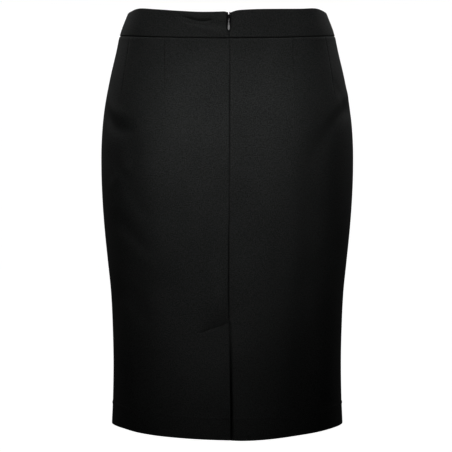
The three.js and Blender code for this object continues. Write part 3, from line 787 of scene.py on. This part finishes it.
def back_right():
    levels = LEVELS
    columns = Columns(levels)
    edge = centre_edge(levels, 1)
    side = side_edge(levels, 1)
    is_vent = soft_step(VENT_DROP - 1, VENT_DROP + 5, levels)
    fall = UNDERLAP_FALL * soft_step(VENT_DROP, VENT_DROP + UNDERLAP_LENGTH, levels)
    deep = UNDERLAP_OUT - fall
    columns.add(edge - VENT_WIDTH, deep)
    columns.run(edge, UNDERLAP_COLUMNS, deep)
    columns.out[-1] = deep * is_vent + EDGE_ROLL[0][1] * (1 - is_vent)
    beyond_roll = [(away, 0.0) for away in BESIDE_VENT["away"][2:]]
    for away, inset in [*EDGE_ROLL[1:], *beyond_roll]:
        dip = deep * read(BESIDE_VENT, "away", "share", away)
        columns.add(edge + away, dip * is_vent + inset * (1 - is_vent))
    inner, outer = dart_line("right inner", levels), dart_line("right outer", levels)
    columns.run(inner - DART_CLEAR, 24)
    add_dart(columns, inner)
    columns.run(outer - DART_CLEAR, 16)
    add_dart(columns, outer)
    columns.run(side - 1.6, 27)
    for away, inset in reversed(EDGE_ROLL[:-1]):
        columns.add(side - away, inset)
    round_, out = columns.grid()
    drop = slanted(levels[:, None], edge[:, None] - round_)
    beside = np.maximum(0, -out) * (round_ > edge[:, None] - 5) * is_vent[:, None]
    out = out + LEVEL_OUT[:, None] + common_relief(drop)
    keep = np.ones((len(levels) - 1, round_.shape[1] - 1), bool)
    keep[: int(np.argmax(levels > VENT_DROP)), :UNDERLAP_COLUMNS] = False
    return sheet_mesh(round_, drop + SAG * beside, out, keep)


# %% [markdown]
# The front is one plain panel with two short darts. It isn't in the picture, so it gets only what such a
# skirt must have, and soft creases like the ones behind.

# %% Front panel
def front():
    levels = LEVELS
    columns = Columns(levels)
    middle = half_girth(levels)
    side = side_edge(levels, 1, SEAM_GAP / 2)
    far = 2 * middle - side
    dart = (middle - side) * FRONT_DART_SHARE
    for away, inset in EDGE_ROLL:
        columns.add(side + away, inset)
    columns.run(middle - dart - DART_CLEAR, 44)
    add_dart(columns, middle - dart, FRONT_DART_LENGTH)
    columns.run(middle + dart - DART_CLEAR, 46)
    add_dart(columns, middle + dart, FRONT_DART_LENGTH)
    columns.run(far - EDGE_ROLL[-1][0], 44)
    for away, inset in reversed(EDGE_ROLL[:-1]):
        columns.add(far - away, inset)
    round_, out = columns.grid()
    drop = np.broadcast_to(levels[:, None], round_.shape)
    return sheet_mesh(round_, drop, out + LEVEL_OUT[:, None] + common_relief(drop))


# %% [markdown]
# Seam allowances. Inside, each seam leaves a strip of cloth pressed to one side. Behind the centre-back
# seam, below the zip, the strip also reaches across, so no light comes through where the seam gapes.

# %% Seam allowances
BRIDGE = 2.5                     # the centre seam's allowance reaches this far past the gap in front of it
BRIDGE_OUT = -3.0                # and stands off this far behind it
PRESS_START = 0.4                # a plain allowance starts this far from its seam
INSIDE_STEP = 6.0
INSIDE_DROPS = np.arange(BAND_DROP + 2.0, HEM_EDGE - 1, INSIDE_STEP)
ZIP_DROPS = np.arange(BAND_DROP + 2.0, ZIP_END, INSIDE_STEP)
CENTRE_DROPS = np.arange(ZIP_END + 2.0, VENT_DROP + 2, INSIDE_STEP)


def allowance(edge_of, way, drops, bridges=False):
    """A seam allowance pressed flat inside, from an edge line, `way` saying to which side it is turned."""
    columns = Columns(drops)
    edge = edge_of(drops)
    if bridges:
        columns.add(edge - way * BRIDGE, BRIDGE_OUT)
        columns.run(edge + way * BRIDGE, 3, BRIDGE_OUT)
        columns.run(edge + way * 3 * BRIDGE, 3, -LAYER)
    else:
        columns.add(edge + way * PRESS_START, -LAYER)
    columns.run(edge + way * ALLOWANCE, 5, -LAYER)
    round_, out = columns.grid()
    if way < 0:
        round_, out = round_[:, ::-1], out[:, ::-1]
    drop = np.broadcast_to(drops[:, None], round_.shape)
    return sheet_mesh(round_, drop, out + common_relief(drop))


def left_side(drop):
    return side_edge(drop, -1)


def right_side(drop):
    return side_edge(drop, 1)


def left_side_of_front(drop):
    return side_edge(drop, -1, SEAM_GAP / 2)


def right_side_of_front(drop):
    return side_edge(drop, 1, SEAM_GAP / 2)


def centre_right(drop):
    return centre_line(drop) + SEAM_GAP / 2


# %% The three panels
left_cloth = piece(
    "back_left_cloth", [back_left(), allowance(left_side, 1, INSIDE_DROPS)],
    SUITING, "suiting", "skirt", "back_left_panel")
right_cloth = piece(
    "back_right_cloth",
    [back_right(), allowance(right_side, -1, INSIDE_DROPS), allowance(centre_right, 1, ZIP_DROPS),
     allowance(centre_right, 1, CENTRE_DROPS, bridges=True)],
    SUITING, "suiting", "skirt", "back_right_panel")
front_cloth = piece(
    "front_cloth",
    [front(), allowance(right_side_of_front, 1, INSIDE_DROPS),
     allowance(left_side_of_front, -1, INSIDE_DROPS)],
    SUITING, "suiting", "skirt", "front_panel")

# %% [markdown]
# The waistband is a strip folded over at the top, so it has an outer and an inner layer and a round upper
# edge. Its two centre-back ends draw apart round the slider, roll in beside the pull, and close again above
# the seam, which makes the small lens-shaped opening that shows behind the pull.

# %% Waistband
BAND_OPENING = table(
    "drop half", (0, 2.2), (5, 2.75), (10, 3.1), (15, 3.6), (22, 3.5), (28, 1.9), (33, 0.35), (37, 0.3))
BAND_FOLD = (BAND - CLOTH) / 2   # radius of the fold along the top
BAND_FOLD_STEPS = 8
OUTER_LAYER = -CLOTH / 2
INNER_LAYER = OUTER_LAYER - 2 * BAND_FOLD
FOOT = BAND_DROP - SEAM_GAP / 2
FOOT_TUCK, FOOT_REACH = 1.1, 0.4     # the band's lower edge is drawn in along the seam
INNER_FOOT = BAND_DROP + 0.4     # the inner layer covers the seam
NOTCH_DROP, NOTCH_LEFT, NOTCH_RIGHT = 2.3, 3.5, 7.0     # the corners by the zip are rounded down
NOTCH_ENDS = 16


def band_levels():
    """Drop and inset of each level of the band: up the outside, over the top and down the inside."""
    drops = [FOOT, FOOT - 0.15, FOOT - 0.4, FOOT - 0.9] + list(np.linspace(FOOT - 2, BAND_FOLD, 34))
    outs = [OUTER_LAYER - FOOT_TUCK * math.exp(-((FOOT - drop) / FOOT_REACH) ** 2) for drop in drops]
    for step in range(1, BAND_FOLD_STEPS + 1):
        angle = math.pi * step / BAND_FOLD_STEPS
        drops.append(BAND_FOLD - BAND_FOLD * math.sin(angle))
        outs.append(OUTER_LAYER - BAND_FOLD * (1 - math.cos(angle)))
    inside = np.linspace(BAND_FOLD, INNER_FOOT, 12)[1:]
    return np.array([*drops, *inside]), np.array([*outs, *[INNER_LAYER] * len(inside)])


BAND_LEVELS, BAND_OUT = band_levels()


def band_sheet(columns):
    """The band's mesh; a column's `out` is the share by which its layers are rolled together there."""
    round_, roll = columns.grid()
    from_edge = round_ - centre_line(BAND_LEVELS)[:, None]
    reach = np.where(from_edge < 0, NOTCH_LEFT, NOTCH_RIGHT)
    drop = BAND_LEVELS[:, None]
    notch = NOTCH_DROP * np.exp(-((from_edge / reach) ** 2)) * (1 - soft_step(0, NOTCH_ENDS, drop))
    out = INNER_LAYER + (BAND_OUT[:, None] - INNER_LAYER) * (1 - roll)
    return sheet_mesh(round_[::-1], (drop + notch)[::-1], out[::-1])


BAND_ROLL = ((0.0, 0.62), (0.5, 0.4), (1.2, 0.2), (2.4, 0.07), (4.5, 0.0))
BAND_END = ((0.0, 0.42), (0.25, 0.2), (0.7, 0.06), (1.5, 0.0))
PUCKER_ENDS = 68                 # the columns are closer together up to this far from the opening


def back_band(way):
    """Half of the band's back, `way` being -1 for the left and 1 for the right."""
    columns = Columns(BAND_LEVELS)
    opening = centre_line(BAND_LEVELS) + way * read(BAND_OPENING, "drop", "half", BAND_LEVELS)
    side = side_edge(BAND_LEVELS, way)
    for away, roll in BAND_ROLL:
        columns.add(opening + way * away, roll)
    columns.run(opening + way * PUCKER_ENDS, 42)
    columns.run(side - way * BAND_END[-1][0], 46)
    for away, roll in reversed(BAND_END[:-1]):
        columns.add(side - way * away, roll)
    if way < 0:
        columns.round.reverse()
        columns.out.reverse()
    return band_sheet(columns)


def front_band():
    columns = Columns(BAND_LEVELS)
    side = side_edge(BAND_LEVELS, 1, SEAM_GAP / 2)
    far = 2 * half_girth(BAND_LEVELS) - side
    for away, roll in BAND_END:
        columns.add(side + away, roll)
    columns.run(far - BAND_END[-1][0], 120)
    for away, roll in reversed(BAND_END[:-1]):
        columns.add(far - away, roll)
    return band_sheet(columns)


band_left = piece("band_left_cloth", [back_band(-1)], SUITING, "suiting", "skirt", "waistband_back_left")
band_right = piece("band_right_cloth", [back_band(1)], SUITING, "suiting", "skirt", "waistband_back_right")
band_front = piece("band_front_cloth", [front_band()], SUITING, "suiting", "skirt", "waistband_front")

# %% [markdown]
# The zip is a concealed one. Its tapes lie behind the cloth and its teeth face inwards; outside, only the
# pull shows, and a little of the tapes where the waistband opens. The teeth are one joined mesh: a rounded
# peg repeated down both tapes, half a pitch apart.

# %% Zip tapes and teeth
TAPE_EDGE = table("drop away", (ZIP_TOP, 1.5), (6, 1.25), (12, 1.1), (17, 0.35), (ZIP_END, 0.35))
TAPE_WIDTH = 13
TAPE_THICK = 0.5
TAPE_BEHIND_BAND = -(BAND + 0.7)
TAPE_BEHIND_PANEL = -(PANEL + 0.35)
SEAM_DIP, SEAM_DIP_REACH = -1.1, 5   # the tape passes behind the waistband seam
TEETH_TOP = 17
TOOTH_PITCH = 1.5
TOOTH = (1.15, 0.42, 0.42)       # half sizes: across, out and down
TOOTH_LAP = 0.35                 # how far past the middle a tooth reaches
STOP = (0.8, 0.55, 1.5)
STOP_DROPS, STOP_ASIDE = (2.2, 4.6), 1.5


def tape_out(drop):
    """How far behind the smooth body the middle of the tape lies."""
    eased = soft_step(BAND_DROP + 3, BAND_DROP + 20, drop)
    dip = SEAM_DIP * np.exp(-(((drop - BAND_DROP) / SEAM_DIP_REACH) ** 2))
    return TAPE_BEHIND_BAND + (TAPE_BEHIND_PANEL - TAPE_BEHIND_BAND) * eased + dip - TAPE_THICK / 2


def zip_tape(way):
    drops = np.linspace(ZIP_TOP, ZIP_END, 84)
    columns = Columns(drops)
    near = centre_line(drops) + way * read(TAPE_EDGE, "drop", "away", drops)
    columns.add(near, 0.0)
    columns.run(near + way * TAPE_WIDTH, 6)
    round_, out = columns.grid()
    if way < 0:
        round_, out = round_[:, ::-1], out[:, ::-1]
    drop = np.broadcast_to(drops[:, None], round_.shape)
    return sheet_mesh(round_, drop, out + tape_out(drop), thickness=TAPE_THICK)


def rounded_peg(rings=4, sides=8):
    """Points and faces of a small rounded peg about the origin, its long way across."""
    points, faces = [(-1, 0, 0)], []
    for ring in range(1, rings + 1):
        angle = math.pi * ring / (rings + 1)
        x, radius = -math.cos(angle), math.sin(angle) ** 0.45
        for side in range(sides):
            turn = 2 * math.pi * side / sides
            points.append((x, radius * math.cos(turn), radius * math.sin(turn)))
    points.append((1, 0, 0))
    last = len(points) - 1
    for side in range(sides):
        after = (side + 1) % sides
        faces.append((0, 1 + after, 1 + side))
        for ring in range(rings - 1):
            low, high = 1 + ring * sides, 1 + (ring + 1) * sides
            faces.append((low + side, low + after, high + after, high + side))
        faces.append((last, last - sides + side, last - sides + after))
    return np.array(points, float), faces


# %% Pegs along the cloth
def pegs_mesh(places, half_sizes):
    """A joined mesh of pegs, each at a place with its own across, out and down directions."""
    shape, faces = rounded_peg()
    points, all_faces = [], []
    for centre, axes in places:
        start = len(points)
        for corner in shape * half_sizes * MM:
            points.append(tuple(centre + axes.T @ corner))
        all_faces += [tuple(start + k for k in face) for face in faces]
    mesh = bpy.data.meshes.new("pegs")
    mesh.from_pydata(points, [], all_faces)
    mesh.polygons.foreach_set("use_smooth", [True] * len(mesh.polygons))
    return mesh


def frame_at(round_, drop, out, direction=(1.0, 0.0)):
    """A point on the cloth, and the unit ways along a direction on the cloth, out of it, and across."""
    here = on_body(round_, drop, out)
    ahead = on_body(round_ + direction[0], drop + direction[1], out) - here
    ahead /= np.linalg.norm(ahead)
    outward = on_body(round_, drop, out + 1.0) - here
    outward -= ahead * (outward @ ahead)
    outward /= np.linalg.norm(outward)
    return here, np.array([ahead, outward, np.cross(ahead, outward)])


def zip_pegs(way, drops, aside, proud):
    """Places down one tape, that far from the middle and proud of the tape."""
    return [frame_at(float(centre_line(drop)) + way * aside, drop, float(tape_out(drop)) + proud)
            for drop in drops]


def zip_teeth():
    places = []
    for way, shift in ((-1, 0), (1, TOOTH_PITCH / 2)):
        drops = np.arange(TEETH_TOP + shift, ZIP_END - 2, TOOTH_PITCH)
        places += zip_pegs(way, drops, TOOTH[0] - TOOTH_LAP, 0.1)
    return pegs_mesh(places, TOOTH)


def top_stops():
    places = []
    for way in (-1, 1):
        places += zip_pegs(way, STOP_DROPS, STOP_ASIDE, 0.15)
    return pegs_mesh(places, STOP)


tape_left = piece("zip_tape_left_cloth", [zip_tape(-1)], TAPE, "zip_tape", "skirt", "zip_tape_left")
tape_right = piece("zip_tape_right_cloth", [zip_tape(1)], TAPE, "zip_tape", "skirt", "zip_tape_right")
teeth = piece("zip_teeth", [zip_teeth(), top_stops()], TEETH, "zip_tape", "skirt")

# %% [markdown]
# The slider and the pull are cast metal with rounded edges. A flat outline, as a filled curve with some
# extrusion and a bevel, gives such a plate in one step, with the eye as a second outline inside the first.
# The bail is a bent wire, a curve with a round section. Both sit in the frame's own place: the joint's point
# is the pull's pivot, and they lie along the slope of the waistband.

# %% Slider and pull
PIVOT = Vector(frame["record"]["behaviour"]["joints"][0]["pos_m"])
SLOPE_DROPS = (2, 24)
TAB_LENGTH, TAB_THICK, TAB_BAR = 17.3, 0.8, 0.38
BAIL_RADIUS, BAIL_WIRE, BAIL_STEPS = 1.35, 0.36, 16
PLATE_FRONT, PLATE_BACK, REAR_FRONT, REAR_BACK = -0.85, -1.7, -3.5, -4.4
SHIELD_HALF, REAR_GROWS = 2.35, 0.4
SUNK = 0.3                       # how far the neck's ends are set into the two plates

upper, lower = (on_body(centre_line(d), d) for d in SLOPE_DROPS)
slope = math.atan2(upper[1] - lower[1], upper[2] - lower[2])
ZIP_PLACE = Matrix.Translation(PIVOT) @ Matrix.Rotation(-slope, 4, "X") @ Matrix.Rotation(math.pi, 4, "Z")


def from_curve(curve, place):
    """A curve turned into a plain mesh at its place."""
    holder = bpy.data.objects.new("holder", curve)
    bpy.context.collection.objects.link(holder)
    bpy.context.view_layer.update()
    mesh = bpy.data.meshes.new_from_object(holder.evaluated_get(bpy.context.evaluated_depsgraph_get()))
    bpy.data.objects.remove(holder)
    mesh.transform(place)
    mesh.polygons.foreach_set("use_smooth", [True] * len(mesh.polygons))
    return mesh


def smooth_loop(curve, points):
    """A closed outline through points given in millimetres."""
    loop = curve.splines.new("BEZIER")
    loop.bezier_points.add(len(points) - 1)
    for spot, (x, y) in zip(loop.bezier_points, points):
        spot.co = (x * MM, y * MM, 0)
        spot.handle_left_type = spot.handle_right_type = "AUTO"
    loop.resolution_u = 6
    loop.use_cyclic_u = True


def plate(outlines, back, front, bevel=0.16):
    """A plate with rounded edges between two depths, from outlines across and up."""
    curve = bpy.data.curves.new("plate", "CURVE")
    curve.dimensions = "2D"
    curve.fill_mode = "BOTH"
    for points in outlines:
        smooth_loop(curve, points)
    curve.extrude = ((front - back) / 2 - bevel) * MM
    curve.bevel_depth = bevel * MM
    curve.bevel_resolution = 3
    curve.offset = -bevel * MM
    stand = Matrix.Rotation(math.pi / 2, 4, "X")
    return from_curve(curve, ZIP_PLACE @ Matrix.Translation((0, (front + back) / 2 * MM, 0)) @ stand)


def mirrored(right):
    """A closed outline from its right half, listed from the top down."""
    return right + [(-x, y) for x, y in reversed(right) if x > 0]


def pull_tab():
    outline = mirrored([
        (0.0, TAB_BAR), (0.85, TAB_BAR - 0.02), (1.18, -0.25), (1.2, -1.2), (1.05, -2.2), (0.75, -3.4),
        (0.72, -5.2), (0.95, -8.2), (1.25, -11), (1.4, -13), (1.28, -14.8), (0.8, -16.2),
        (0.0, TAB_BAR - TAB_LENGTH),
    ])
    eye = mirrored([(0.0, -TAB_BAR), (0.5, -0.42), (0.7, -0.7), (0.72, -1.6), (0.5, -2.08), (0.0, -2.15)])
    return [plate([outline, eye], -TAB_THICK / 2, TAB_THICK / 2, 0.24)]


def shield(half):
    """The outline of the slider's plates, wider at the top, from its half width."""
    return mirrored([
        (0.0, 6.1), (half * 0.45, 6.5), (half * 0.86, 6.0), (half, 4.2), (half * 0.88, 1.2),
        (half * 0.66, -1.6), (half * 0.5, -2.6), (0.0, -2.7),
    ])


def wire_loop(points, radius):
    """A round wire bent through points in the slider's own frame."""
    curve = bpy.data.curves.new("wire", "CURVE")
    curve.dimensions = "3D"
    bent = curve.splines.new("POLY")
    bent.points.add(len(points) - 1)
    for spot, point in zip(bent.points, points):
        spot.co = (*(part * MM for part in point), 1)
    curve.bevel_depth = radius * MM
    curve.bevel_resolution = 3
    curve.use_fill_caps = True
    return from_curve(curve, ZIP_PLACE)


def slider():
    foot = PLATE_FRONT - 0.2
    angles = [math.pi * (step / BAIL_STEPS - 0.5) for step in range(BAIL_STEPS + 1)]
    arch = [(0, BAIL_RADIUS * math.cos(angle), BAIL_RADIUS * math.sin(angle)) for angle in angles]
    neck = [(-0.6, 0.9), (0.6, 0.9), (0.6, 3.5), (-0.6, 3.5)]
    return [
        plate([shield(SHIELD_HALF)], PLATE_BACK, PLATE_FRONT),
        plate([shield(SHIELD_HALF + REAR_GROWS)], REAR_BACK, REAR_FRONT),
        plate([neck], REAR_FRONT - SUNK, PLATE_BACK + SUNK, 0.05),
        wire_loop([(0, foot, -BAIL_RADIUS), *arch, (0, foot, BAIL_RADIUS)], BAIL_WIRE),
    ]


zip_slider = piece("zip_slider_metal", slider(), SLIDER, "slider_metal", "skirt", "zip_slider")
zip_pull = piece("zip_pull_metal", pull_tab(), PULL, "tab_metal", "pull_tab", "zip_pull_tab")

# %% [markdown]
# Stitching. The only stitches that show outside hold the vent's facing: a slanting row across the left
# panel, from the seam down and away from it. The row is one joined mesh of short thread pegs that follow the
# cloth, and it lies in the tuck at the foot of the bag.

# %% Stitches
STITCH, STITCH_GAP = 2.3, 0.55
THREAD_HALF = 0.17
STITCH_PROUD = 0.2


def stitch_row(start, end, out):
    """Places of stitches along a straight line on the cloth."""
    length = math.hypot(end[0] - start[0], end[1] - start[1])
    way = ((end[0] - start[0]) / length, (end[1] - start[1]) / length)
    count = int(length / (STITCH + STITCH_GAP))
    places = []
    for k in range(count):
        at = (k + 0.5) * (STITCH + STITCH_GAP)
        places.append(frame_at(start[0] + way[0] * at, start[1] + way[1] * at, out, way))
    return places


vent_edge = float(centre_line(VENT_DROP)) - SEAM_GAP / 2
row_start = (vent_edge - 0.8, VENT_DROP + 0.5)
row_end = (vent_edge - VENT_WIDTH + 1, VENT_DROP + VENT_SLANT)
vent_row = stitch_row(row_start, row_end, STITCH_PROUD)
stitches = piece(
    "vent_stitches", [pegs_mesh(vent_row, (STITCH / 2, THREAD_HALF, THREAD_HALF))],
    THREADS, "suiting", "skirt")

# %% [markdown]
# Every piece of cloth is declared with the size that it was cut to. A panel is cut as long as its drop with


# %% [markdown]
# The studio. Black cloth shows its form by how it darkens, so the light comes from many small, weak boxes,
# each with a narrow spread. Two at the sides and one above light the back's upper half. Pairs of lower ones
# fade towards the hem and let the sides go dark, with a soft streak down each half. One at the right edge
# draws the thin lighter strip along that hip. The last four serve the other sides of the skirt.

# %% Lights
LIGHTS = (                       # name, place, what it points at, size, watts, spread in degrees
    ("left_low", (-0.284, -0.653, 0.095), (-0.02, 0, -0.38), (0.12, 0.3), 0.026, 17),
    ("right_low", (0.244, -0.653, 0.095), (-0.02, 0, -0.38), (0.12, 0.3), 0.033, 17),
    ("left_lowest", (-0.267, -0.76, -0.279), (-0.02, 0, -0.57), (0.12, 0.2), 0.0125, 16),
    ("right_lowest", (0.227, -0.76, -0.279), (-0.02, 0, -0.57), (0.12, 0.2), 0.0105, 16),
    ("left_streak", (-0.243, -0.778, 0.115), (-0.02, 0, -0.28), (0.1, 0.3), 0.09, 24),
    ("right_streak", (0.273, -0.778, 0.115), (0.05, 0, -0.28), (0.1, 0.3), 0.042, 18),
    ("left_side", (-0.65, -0.65, 0.939), (0, 0, 0.02), (0.4, 0.4), 0.39, 36),
    ("right_side", (0.738, -0.819, 0.689), (0, 0, 0), (0.4, 0.4), 0.28, 38),
    ("right_edge", (1.092, -0.441, 0.429), (0, 0, -0.12), (0.3, 0.4), 0.05, 32),
    ("high", (-0.1, -0.65, 0.94), (0, 0, 0.03), (0.4, 0.4), 0.11, 30),
    ("left_beyond", (-1.154, 1.154, 0.641), (0, 0, -0.12), (0.5, 0.7), 0.8, 50),
    ("right_beyond", (1.154, 1.154, 0.641), (0, 0, -0.12), (0.5, 0.7), 0.8, 50),
    ("beyond", (0.098, 1.406, 0.363), (0, 0, -0.15), (0.4, 0.4), 1.0, 80),
    ("above", (0, 0.27, 1.272), (0, 0, 0), (0.5, 0.5), 1.0, 70),
)


def area_light(name, place, aim, size, watts, spread):
    light = bpy.data.lights.new(name, "AREA")
    light.shape = "RECTANGLE"
    light.size, light.size_y = size
    light.energy = watts
    light.spread = math.radians(spread)
    lamp = bpy.data.objects.new(name, light)
    bpy.context.collection.objects.link(lamp)
    lamp.location = place
    lamp.visible_camera = False
    lamp.rotation_euler = (Vector(aim) - Vector(place)).to_track_quat("-Z", "Y").to_euler()


for row in LIGHTS:
    area_light(*row)
print(len(LIGHTS), "lights")

# %% [markdown]
# The floor is pale paper a little way below the hem, and the air round it is white to the eye alone. If
# either lit the skirt as brightly as it looks, black cloth would turn grey. A Light Path node tells the rays
# of the eye from the rest, so the cloth gets only a trace of that white.

# %% Floor and air
FLOOR_DROP, FLOOR_RADIUS, FLOOR_SIDES = 1.05, 6, 64
PAPER_DIM, PAPER_PALE = (0.80, 0.80, 0.80, 1), (0.86, 0.86, 0.86, 1)
GLOW_ON_CLOTH, AIR_ON_CLOTH, AIR_SEEN = 0.03, 0.015, 1.005


def pale_floor():
    turns = [2 * math.pi * side / FLOOR_SIDES for side in range(FLOOR_SIDES)]
    rim = [(FLOOR_RADIUS * math.cos(turn), FLOOR_RADIUS * math.sin(turn), -FLOOR_DROP) for turn in turns]
    mesh = bpy.data.meshes.new("floor")
    mesh.from_pydata(rim, [], [tuple(range(FLOOR_SIDES))])
    floor = bpy.data.objects.new("floor", mesh)
    bpy.context.collection.objects.link(floor)
    paper = Finish(bpy.data.materials.new("paper"))
    mottle = paper.node("TexNoise", {}, {"Scale": 3.0, "Detail": 2.0})
    seen = paper.node("LightPath", {}, {}, output="Is Camera Ray")
    mesh.materials.append(paper.surface({
        "Base Color": paper.blend(mottle, PAPER_DIM, PAPER_PALE),
        "Roughness": 0.9,
        "Emission Color": paper.blend(seen, (GLOW_ON_CLOTH,) * 3 + (1,), (1, 1, 1, 1)),
        "Emission Strength": 1.0,
    }))


def white_air():
    air = Finish(bpy.data.worlds.new("studio"), "Background")
    seen = air.node("LightPath", {}, {}, output="Is Camera Ray")
    air.surface({"Color": (1, 1, 1, 1), "Strength": seen * (AIR_SEEN - AIR_ON_CLOTH) + AIR_ON_CLOTH})
    bpy.context.scene.world = air.owner


pale_floor()
white_air()
